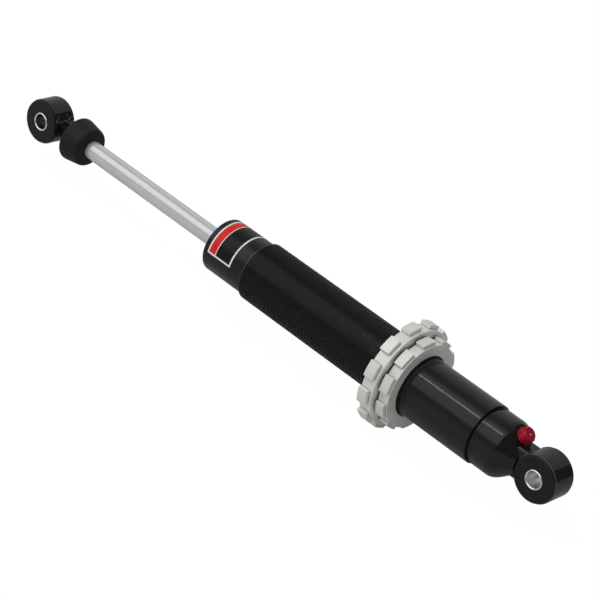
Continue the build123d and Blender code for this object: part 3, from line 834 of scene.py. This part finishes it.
def castellated_ring(name, node, body, lugs, first, lug_w, valley_r, lug_r, rim, hub_len, hub_r):
    low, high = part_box(node)
    half_width = math.asin(lug_w / 2 / lug_r)
    angles, is_lug = lug_angles(lugs, math.radians(first), half_width, LUG_STEPS)
    radii = (RING_BORE_R, hub_r, valley_r, lug_r)
    stations = (low[0], low[0] + rim, high[0] - hub_len, high[0])

    def filled(angle, layer, slab):
        if layer == LUG_LAYER:
            return slab == LUG_SLAB and is_lug[angle]
        return slab <= LUG_SLAB or layer == HUB_LAYER

    ring = cell_mesh(angles, radii, stations, filled, BORE_CHAMFER)
    piece = add_piece(name, ring, ring_grey, body, SHARP_ANGLE)
    bevel = piece.modifiers.new("cast_edges", "BEVEL")
    bevel.width = CAST_EDGE
    bevel.segments = 3
    bevel.limit_method = "ANGLE"
    bevel.angle_limit = math.radians(SHARP_ANGLE)
    bevel.harden_normals = True
    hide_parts(node)


castellated_ring(
    "castellated_lock_ring", "lock_ring", "locking_ring",
    lugs=10, first=13.8, lug_w=11.2 * MM, valley_r=28.3 * MM, lug_r=30.5 * MM,
    rim=1.1 * MM, hub_len=0.4 * MM, hub_r=24.175 * MM,
)
castellated_ring(
    "castellated_spring_seat", "adjuster_ring", "spring_adjuster",
    lugs=12, first=20.5, lug_w=10.6 * MM, valley_r=33.0 * MM, lug_r=35.6 * MM,
    rim=2.1 * MM, hub_len=3.0 * MM, hub_r=24.0 * MM,
)

# %% [markdown]
# A blank decal on the neck
#
# A foil is wrapped round the neck, with plain areas of colour: a pale border and rule, one red
# band and a dark field. It could be painted into the neck's own finish. A thin curved patch that
# stands a hair proud of the neck is used here, because it catches its own edge of light and can be
# taken off.

# %% Decal
DECAL_START = 245.9 * MM
DECAL_END = 266.2 * MM
DECAL_LOW = math.radians(3.5)
DECAL_SWEEP = math.radians(182.0)
DECAL_LIFT = 0.06 * MM
BORDER = 1.15 * MM
BAND = 5.2 * MM
RULE = 0.55 * MM
DECAL_STEPS = 60
PRINT_WHITE = (0.98, 0.98, 0.97)
PRINT_BLACK = (0.008, 0.008, 0.009)
PRINT_RED = (0.84, 0.026, 0.020)


def paint_decal(shader):
    x, _, angle = shader.along_and_around()
    turn = (angle - DECAL_LOW + 2 * math.pi).modulo(2 * math.pi)
    along = turn * NECK_R
    length = DECAL_SWEEP * NECK_R
    inside = x.above(DECAL_START + BORDER) * x.below(DECAL_END - BORDER)
    inside = inside * along.above(BORDER) * along.below(length - BORDER)
    band_edge = DECAL_END - BORDER - BAND
    band = x.above(band_edge) * inside
    rule = x.above(band_edge - RULE) * x.below(band_edge) * inside
    wear = shader.noise(380.0, 3.0)
    colour = shader.mix(inside, PRINT_WHITE, PRINT_BLACK)
    colour = shader.mix(band, colour, PRINT_RED)
    colour = shader.mix(rule, colour, PRINT_WHITE)
    return {
        "Base Color": colour,
        "Roughness": 0.26 + wear * 0.10,
        "Normal": shader.bump(wear, 2e-6),
    }


decal_print = finish("blank_decal_print", paint_decal, specular=0.2)
decal = bmesh.new()
decal_rings = []
outer = NECK_R + DECAL_LIFT
inner = NECK_R - DECAL_LIFT
for step in range(DECAL_STEPS + 1):
    angle = DECAL_LOW + DECAL_SWEEP * step / DECAL_STEPS
    decal_rings.append([
        around(DECAL_START, inner, angle), around(DECAL_START, outer, angle),
        around(DECAL_END, outer, angle), around(DECAL_END, inner, angle),
    ])
skin(decal, decal_rings)
for ring in (decal_rings[0], decal_rings[-1]):
    decal.faces.new([decal.verts.new(point) for point in ring])
add_piece("blank_decal", decal, decal_print, "shock_body")

# %% [markdown]
# The studio floor
#
# A product on white needs a floor that is white to the camera and still takes a faint shadow. It
# could be a lit white sheet, but that is never even. Here the camera sees a floor that glows, and
# every other ray meets plain paint, a little darker where it is mirrored in the part.

# %% Floor
FLOOR_Z = cad_box[0].z
FLOOR_HALF = 20.0
GLOW_SHARE = 0.95
GLOW_STRENGTH = 1.03
FLOOR_GREY = 0.80
MIRRORED_GREY = 0.66
floor_mesh = bpy.data.meshes.new("studio_floor")
floor_corners = [(-FLOOR_HALF, -FLOOR_HALF), (FLOOR_HALF, -FLOOR_HALF),
                 (FLOOR_HALF, FLOOR_HALF), (-FLOOR_HALF, FLOOR_HALF)]
floor_mesh.from_pydata([(x, y, FLOOR_Z) for x, y in floor_corners], [], [(0, 1, 2, 3)])
studio_floor = bpy.data.objects.new("studio_floor", floor_mesh)
bpy.context.scene.collection.objects.link(studio_floor)

floor_material = bpy.data.materials.new("studio_floor")
floor_material.use_nodes = True
floor_shader = Shader(floor_material.node_tree)
to_camera = floor_shader.node("ShaderNodeLightPath", output="Is Camera Ray")
to_mirror = floor_shader.node("ShaderNodeLightPath", output="Is Glossy Ray")
floor_colour = floor_shader.mix(to_mirror, FLOOR_GREY, MIRRORED_GREY)
matte = floor_shader.node("ShaderNodeBsdfDiffuse", {}, {"Color": floor_colour})
glow = floor_shader.node("ShaderNodeEmission", {}, {"Color": rgba(1.0), "Strength": GLOW_STRENGTH})
floor_parts = {0: to_camera * GLOW_SHARE, 1: matte, 2: glow}
floor_mix = floor_shader.node("ShaderNodeMixShader", {}, floor_parts)
floor_shader.node("ShaderNodeOutputMaterial", {}, {"Surface": floor_mix})
floor_mesh.materials.append(floor_material)
print("floor lies at", round(FLOOR_Z / MM, 2), "mm")

# %% [markdown]
# The sky
#
# Glossy black and chrome show little of their own colour: what is seen is the room. The product
# was shot under one broad panel that runs along it, with dark gaps at both its sides, which draw
# the thin dark lines on the chrome. Lamps could stand for all that, but a ramp over the angle
# round the shock's axis says it in one line. Towards both ends of the shock the sky evens out. Past
# the body eye it is unlit, which shades every face that looks that way, and darkest on the side
# away from the camera.

# %% Sky
# Angle round the shock's axis from +Y over +Z, in degrees, and how bright the sky is there
SKY = ((0, 0.36), (12, 0.26), (22, 0.30), (30, 1.05), (78, 1.12), (90, 0.30), (106, 0.25),
       (115, 0.46), (128, 0.54), (146, 0.58), (180, 0.46))
END_LEVEL = 0.66
END_SHARPNESS = 6.0
UNLIT_X = -0.50
UNLIT_LEVEL = 0.12
FLAG_X = -0.40
FLAG_Y = -0.30
FLAG_LEVEL = 0.10

world = bpy.data.worlds.new("studio_sky")
bpy.context.scene.world = world
world.use_nodes = True
sky = Shader(world.node_tree)
sky_x, sky_y, sky_z = sky.split(sky.node("ShaderNodeTexCoord", output="Generated"))
half_turn = sky_z.angle_over(sky_y) * (1 / math.pi)
stops = [(angle / 180, level) for angle, level in SKY]
light = sky.node("ShaderNodeValToRGB", {"stops": stops}, {0: half_turn}, "Color")
light = sky.mix(sky_x.absolute().to_power(END_SHARPNESS), light, END_LEVEL)
light = sky.mix(sky_x.below(UNLIT_X), light, UNLIT_LEVEL)
light = sky.mix(sky_x.below(FLAG_X) * sky_y.below(FLAG_Y), light, FLAG_LEVEL)
sky_colour = sky.mix(sky.node("ShaderNodeLightPath", output="Is Camera Ray"), light, 1.0)
sky_light = sky.node("ShaderNodeBackground", inputs={"Color": sky_colour, "Strength": 1.0})
sky.node("ShaderNodeOutputWorld", {}, {"Surface": sky_light})
print("sky has", len(SKY), "stops")

# %% [markdown]
# The strip lamp
#
# One thin bright line runs along the tube and the rod. The sky's ramp is too coarse to draw it, so
# a long, narrow area lamp does, hung over the shock and facing its axis.

# %% Strip lamp
def strip_lamp(name, angle, distance, length, width, radiance, middle):
    """A long thin lamp over the shock, at an angle round its axis, that faces the axis."""
    data = bpy.data.lights.new(name, "AREA")
    data.shape = "RECTANGLE"
    data.size = length
    data.size_y = width
    data.energy = radiance * math.pi * length * width
    lamp = bpy.data.objects.new(name, data)
    away = Vector((0.0, math.cos(math.radians(angle)), math.sin(math.radians(angle))))
    along = Vector((1.0, 0.0, 0.0))
    turned = Matrix((along, away.cross(along), away)).transposed().to_4x4()
    lamp.matrix_world = Matrix.Translation(away * distance + along * middle) @ turned
    bpy.context.scene.collection.objects.link(lamp)
    print(name, "gives", round(data.energy, 2), "watts")


strip_lamp("key_strip", angle=66.0, distance=1.6, length=1.42, width=0.05, radiance=12.0, middle=0.31)
